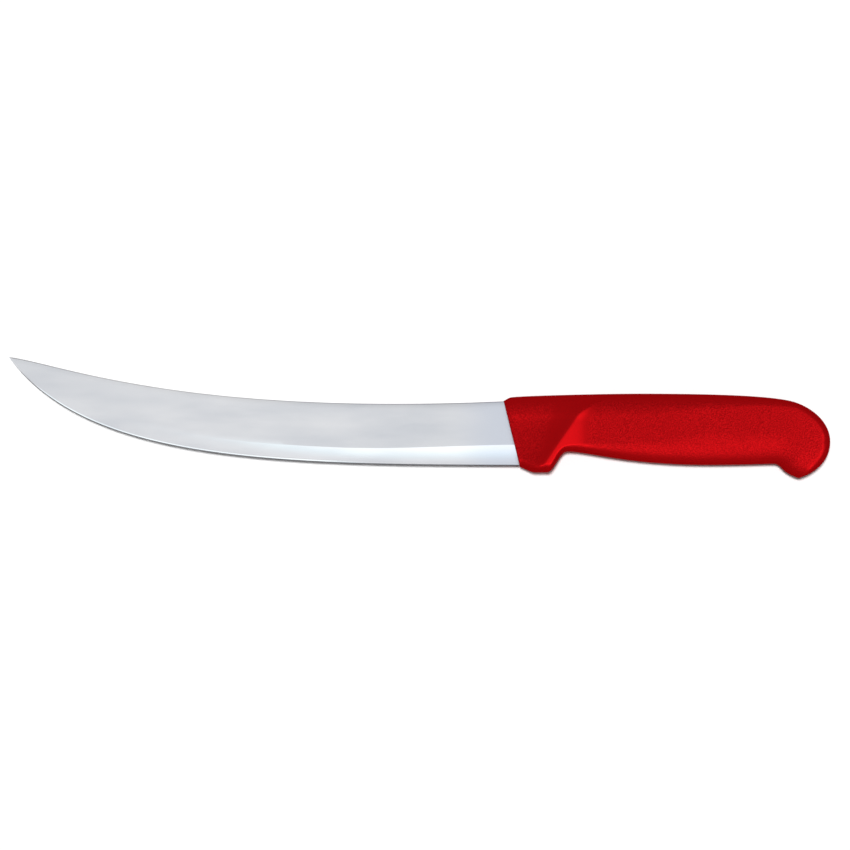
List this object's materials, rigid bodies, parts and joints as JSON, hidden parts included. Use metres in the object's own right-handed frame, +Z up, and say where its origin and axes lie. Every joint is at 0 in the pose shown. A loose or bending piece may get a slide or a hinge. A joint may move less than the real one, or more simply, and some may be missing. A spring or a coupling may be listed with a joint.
{
  "type": "breaking knife",
  "caption": "Butcher's breaking knife with a long upswept steel blade, a hollow-ground edge and a red moulded handle with a guard and a hooked pommel.",
  "frame": {"origin": "middle of the knife's box, on the surface that it lies on", "axes": "+X from the tip to the pommel, +Y from the cutting edge to the spine, +Z up through the blade's thickness"},
  "size_m": [0.3324, 0.049, 0.0243],
  "materials": {
    "steel": "satin-polished stainless sheet with a bright ground band",
    "core": "plain moulded hard plastic",
    "grip": "fine pebbled non-slip grain"
  },
  "bodies": {
    "root": {"blade": "steel", "handle_core": "core", "handle_grip": "grip"}
  },
  "joints": []
}
